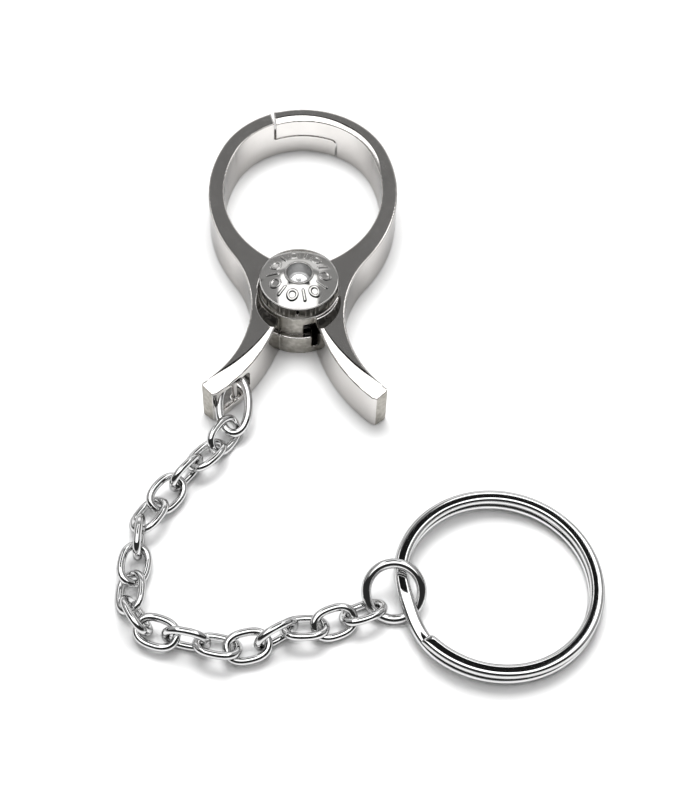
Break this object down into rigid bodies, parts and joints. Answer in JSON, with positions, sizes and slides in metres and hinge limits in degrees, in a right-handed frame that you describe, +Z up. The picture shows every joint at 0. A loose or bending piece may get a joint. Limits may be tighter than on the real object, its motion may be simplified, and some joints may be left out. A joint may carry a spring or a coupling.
{
  "type": "key ring with sprung ring clip",
  "caption": "Key ring with a spring-closed ring clip opened by two squeeze handles, a short link chain, a jump ring and a flat two-turn split ring.",
  "frame": {"origin": "on the clip's pivot axis, at the flat underside that the key ring lies on", "axes": "+Z up from the underside, +Y from the pivot to the head of the clip's ring, +X towards the right arm"},
  "size_m": [0.0687, 0.1017, 0.0114],
  "materials": {
    "arm_plating": "polished, warm nickel tone",
    "cap_plating": "polished, warm nickel tone",
    "rivet_steel": "satin",
    "spring_steel": "drawn wire",
    "chain_plating": "polished",
    "ring_plating": "polished"
  },
  "bodies": {
    "clip": {"left_arm": "arm_plating", "pivot_rivet": "rivet_steel", "pivot_cap": "cap_plating", "torsion_spring": "spring_steel"},
    "right_arm": {"right_arm": "arm_plating"},
    "attachment_link": {"attachment_link": "chain_plating"},
    "chain_link_01": {"chain_link_01": "chain_plating"},
    "chain_link_02": {"chain_link_02": "chain_plating"},
    "chain_link_03": {"chain_link_03": "chain_plating"},
    "chain_link_04": {"chain_link_04": "chain_plating"},
    "chain_link_05": {"chain_link_05": "chain_plating"},
    "chain_link_06": {"chain_link_06": "chain_plating"},
    "chain_link_07": {"chain_link_07": "chain_plating"},
    "chain_link_08": {"chain_link_08": "chain_plating"},
    "chain_link_09": {"chain_link_09": "chain_plating"},
    "chain_link_10": {"chain_link_10": "chain_plating"},
    "chain_link_11": {"chain_link_11": "chain_plating"},
    "chain_link_12": {"chain_link_12": "chain_plating"},
    "chain_link_13": {"chain_link_13": "chain_plating"},
    "chain_link_14": {"chain_link_14": "chain_plating"},
    "chain_link_15": {"chain_link_15": "chain_plating"},
    "chain_link_16": {"chain_link_16": "chain_plating"},
    "chain_link_17": {"chain_link_17": "chain_plating"},
    "jump_ring": {"jump_ring": "ring_plating"},
    "split_ring": {"split_ring": "ring_plating"}
  },
  "joints": [
    {"name": "arm_pivot", "type": "hinge", "parent": "clip", "child": "right_arm", "pos_m": [0, 0, 0.004], "axis": [0, 0, -1], "range_deg": [0, 30], "stiffness_Nm_per_rad": 0.12, "springref_deg": -14.32, "deforming": ["torsion_spring"]},
    {"name": "attachment_link_swing", "type": "hinge", "parent": "clip", "child": "attachment_link", "pos_m": [-0.00917, -0.01644, 0.0022], "axis": [0, 0, 1], "range_deg": [-3, 15]},
    {"name": "link_01_swing", "type": "hinge", "parent": "attachment_link", "child": "chain_link_01", "pos_m": [-0.0089, -0.0226, 0.0022], "axis": [0, 0, -1], "range_deg": [-25, 14]},
    {"name": "link_02_swing", "type": "hinge", "parent": "chain_link_01", "child": "chain_link_02", "pos_m": [-0.01137, -0.02604, 0.0022], "axis": [0, 0, 1], "range_deg": [-15, 35]},
    {"name": "link_03_swing", "type": "hinge", "parent": "chain_link_02", "child": "chain_link_03", "pos_m": [-0.01409, -0.0294, 0.0022], "axis": [0, 0, -1], "range_deg": [-22, 35]},
    {"name": "link_04_swing", "type": "hinge", "parent": "chain_link_03", "child": "chain_link_04", "pos_m": [-0.0167, -0.03286, 0.0022], "axis": [0, 0, 1], "range_deg": [-28, 28]},
    {"name": "link_05_swing", "type": "hinge", "parent": "chain_link_04", "child": "chain_link_05", "pos_m": [-0.01918, -0.0364, 0.0022], "axis": [0, 0, -1], "range_deg": [-10, 10]},
    {"name": "link_06_swing", "type": "hinge", "parent": "chain_link_05", "child": "chain_link_06", "pos_m": [-0.02124, -0.04012, 0.0022], "axis": [0, 0, 1], "range_deg": [-30, 8]},
    {"name": "link_07_swing", "type": "hinge", "parent": "chain_link_06", "child": "chain_link_07", "pos_m": [-0.02131, -0.04437, 0.0022], "axis": [0, 0, -1], "range_deg": [-22, 22]},
    {"name": "link_08_swing", "type": "hinge", "parent": "chain_link_07", "child": "chain_link_08", "pos_m": [-0.02184, -0.04865, 0.0022], "axis": [0, 0, 1], "range_deg": [-9, 22]},
    {"name": "link_09_swing", "type": "hinge", "parent": "chain_link_08", "child": "chain_link_09", "pos_m": [-0.02169, -0.05289, 0.0022], "axis": [0, 0, -1], "range_deg": [-18, 35]},
    {"name": "link_10_swing", "type": "hinge", "parent": "chain_link_09", "child": "chain_link_10", "pos_m": [-0.01952, -0.05636, 0.0022], "axis": [0, 0, 1], "range_deg": [-35, 20]},
    {"name": "link_11_swing", "type": "hinge", "parent": "chain_link_10", "child": "chain_link_11", "pos_m": [-0.01557, -0.05772, 0.0022], "axis": [0, 0, -1], "range_deg": [-17, 35]},
    {"name": "link_12_swing", "type": "hinge", "parent": "chain_link_11", "child": "chain_link_12", "pos_m": [-0.01132, -0.05847, 0.0022], "axis": [0, 0, 1], "range_deg": [-30, 24]},
    {"name": "link_13_swing", "type": "hinge", "parent": "chain_link_12", "child": "chain_link_13", "pos_m": [-0.00711, -0.05921, 0.0022], "axis": [0, 0, -1], "range_deg": [-6, 14]},
    {"name": "link_14_swing", "type": "hinge", "parent": "chain_link_13", "child": "chain_link_14", "pos_m": [-0.00299, -0.05819, 0.0022], "axis": [0, 0, 1], "range_deg": [-35, 14]},
    {"name": "link_15_swing", "type": "hinge", "parent": "chain_link_14", "child": "chain_link_15", "pos_m": [0.00055, -0.05589, 0.0022], "axis": [0, 0, -1], "range_deg": [-26, 12]},
    {"name": "link_16_swing", "type": "hinge", "parent": "chain_link_15", "child": "chain_link_16", "pos_m": [0.00476, -0.05545, 0.0022], "axis": [0, 0, 1], "range_deg": [-18, 9]},
    {"name": "link_17_swing", "type": "hinge", "parent": "chain_link_16", "child": "chain_link_17", "pos_m": [0.00872, -0.05377, 0.0022], "axis": [0, 0, -1], "range_deg": [-18, 35]},
    {"name": "jump_ring_swing", "type": "hinge", "parent": "chain_link_17", "child": "jump_ring", "pos_m": [0.01298, -0.05187, 0.0022], "axis": [0, 0, 1], "range_deg": [-8, 8]},
    {"name": "split_ring_swing", "type": "hinge", "parent": "jump_ring", "child": "split_ring", "pos_m": [0.01522, -0.05057, 0.0022], "axis": [0, 0, -1], "range_deg": [-1.5, 9]}
  ]
}
